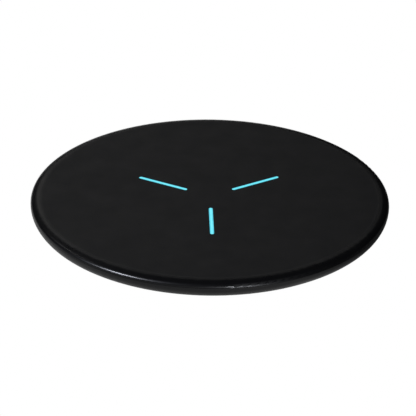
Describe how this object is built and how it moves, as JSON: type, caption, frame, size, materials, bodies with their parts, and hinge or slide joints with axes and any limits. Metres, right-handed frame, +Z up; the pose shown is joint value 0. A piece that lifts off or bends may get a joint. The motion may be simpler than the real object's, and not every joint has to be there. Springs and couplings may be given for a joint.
{
  "type": "wireless charging pad",
  "caption": "Slim round black wireless charging pad with a rolled edge, three flush cyan light bars in the top face and a USB-C inlet in the rear rim.",
  "frame": {"origin": "middle of the plane that the feet stand on", "axes": "+Z up through the top face, -Y towards the front, +Y towards the inlet at the back"},
  "size_m": [0.1, 0.0999, 0.006],
  "materials": {
    "cover_black": "moulded black with a fine matt spray coat",
    "shell_black": "moulded black, satin, with a fine spark texture",
    "light_guide": "clear cyan light guide, flush and evenly lit",
    "reflector_film": "thin white reflecting film",
    "circuit_board": "green solder mask over copper tracks",
    "foam": "dark closed-cell foam",
    "led_package": "white package with a pale lens",
    "resistor": "black glazed chip with tinned ends",
    "flex_ribbon": "amber polyimide with copper lines",
    "socket_plastic": "off-white moulded socket",
    "litz_copper": "enamelled copper strands, twisted",
    "lead_sleeve": "enamelled strands in a thin sleeve",
    "adhesive_tape": "thin double-sided tape",
    "ferrite": "sintered dark grey, fine grain",
    "shield_aluminium": "rolled sheet, bare",
    "thermistor_epoxy": "black dipped bead",
    "screw_steel": "bright zinc plate",
    "inlet_steel": "stamped stainless",
    "inlet_plastic": "black moulded insulator",
    "contact_gold": "gold plated strip",
    "chip_resin": "moulded black resin, laser-etched satin",
    "inductor_ferrite": "pressed metal powder, grey",
    "crystal_can": "plated lid",
    "capacitor_ceramic": "tan ceramic with tinned ends",
    "thermal_silicone": "soft blue-grey gap pad",
    "ballast_steel": "blanked mild steel, light oxide",
    "screw_black": "black zinc plate",
    "foot_rubber": "soft matt rubber",
    "label_film": "blank dark polyester label"
  },
  "bodies": {
    "root": {"top_cover": "cover_black", "bottom_shell": "shell_black", "light_bar_front": "light_guide", "light_bar_right": "light_guide", "light_bar_left": "light_guide", "light_mask": "reflector_film", "led_board": "circuit_board", "led_board_pad": "foam", "led_front": "led_package", "led_right": "led_package", "led_left": "led_package", "led_resistors": "resistor", "led_flex": "flex_ribbon", "flex_connector": "socket_plastic", "transmit_coil": "litz_copper", "coil_leads": "lead_sleeve", "coil_tape": "adhesive_tape", "ferrite_shield": "ferrite", "base_tape": "adhesive_tape", "shield_plate": "shield_aluminium", "thermistor": "thermistor_epoxy", "main_board": "circuit_board", "board_screws": "screw_steel", "usb_c_shell": "inlet_steel", "usb_c_tongue": "inlet_plastic", "usb_c_contacts": "contact_gold", "controller_chip": "chip_resin", "power_chips": "chip_resin", "regulator": "chip_resin", "input_inductor": "inductor_ferrite", "crystal": "crystal_can", "sense_resistor": "resistor", "resonant_capacitors": "capacitor_ceramic", "bulk_capacitors": "capacitor_ceramic", "small_capacitors": "capacitor_ceramic", "small_resistors": "resistor", "thermal_pad": "thermal_silicone", "ballast_plate": "ballast_steel", "ballast_tape": "adhesive_tape", "case_screws": "screw_black", "foot_front_left": "foot_rubber", "foot_front_right": "foot_rubber", "foot_rear_left": "foot_rubber", "foot_rear_right": "foot_rubber", "rating_label": "label_film"}
  },
  "joints": []
}
